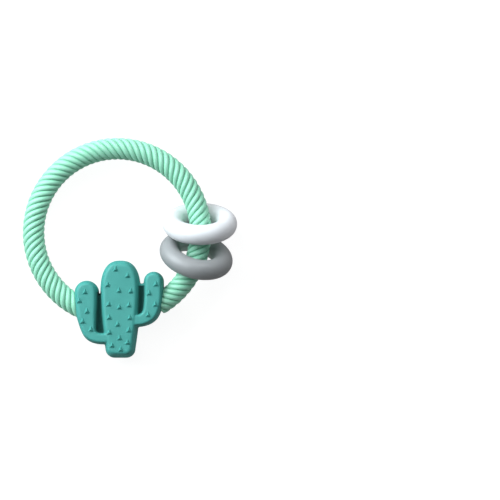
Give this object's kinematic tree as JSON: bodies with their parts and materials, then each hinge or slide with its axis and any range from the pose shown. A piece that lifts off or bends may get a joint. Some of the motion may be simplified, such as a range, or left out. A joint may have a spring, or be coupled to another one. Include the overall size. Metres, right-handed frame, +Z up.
{
  "type": "teething ring",
  "caption": "Teething ring: a twisted rope ring closed by a spiked cactus figure, with loose round rings threaded on it, lying flat.",
  "frame": {"origin": "on the surface it lies on, under the middle of its bounding box", "axes": "+Z up, +Y away from the cactus's foot, +X towards the loose rings"},
  "size_m": [0.117, 0.1206, 0.0373],
  "materials": {
    "mint_silicone": "satin",
    "teal_silicone": "satin",
    "white_silicone": "satin",
    "grey_silicone": "satin",
    "capsule_plastic": "gloss",
    "bead_steel": "satin"
  },
  "bodies": {
    "ring_and_cactus": {"rope_ring": "mint_silicone", "cactus_front": "teal_silicone", "cactus_back": "teal_silicone", "rattle_cup": "capsule_plastic", "rattle_cap": "capsule_plastic"},
    "grey_loop": {"grey_ring": "grey_silicone"},
    "white_loop": {"white_ring": "white_silicone"},
    "bead_1": {"rattle_bead_1": "bead_steel"},
    "bead_2": {"rattle_bead_2": "bead_steel"},
    "bead_3": {"rattle_bead_3": "bead_steel"}
  },
  "joints": [
    {"name": "grey_ring_along_rope", "type": "hinge", "parent": "ring_and_cactus", "child": "grey_loop", "pos_m": [-0.00701, 0.00866, 0.01235], "axis": [-0.1364, -0.0166, 0.9905], "range_deg": [-11, 97]},
    {"name": "white_ring_along_rope", "type": "hinge", "parent": "grey_loop", "child": "white_loop", "pos_m": [-0.00701, 0.00866, 0.01235], "axis": [-0.1364, -0.0166, 0.9905], "range_deg": [-2, 113]},
    {"name": "bead_1_roll", "type": "slide", "parent": "ring_and_cactus", "child": "bead_1", "axis": [-0.0011, 0.9999, 0.0166], "range_m": [0, 0.0076]},
    {"name": "bead_2_roll", "type": "slide", "parent": "ring_and_cactus", "child": "bead_2", "axis": [-0.0011, 0.9999, 0.0166], "range_m": [0, 0.0076]},
    {"name": "bead_3_roll", "type": "slide", "parent": "ring_and_cactus", "child": "bead_3", "axis": [-0.0011, 0.9999, 0.0166], "range_m": [0, 0.0076]}
  ]
}
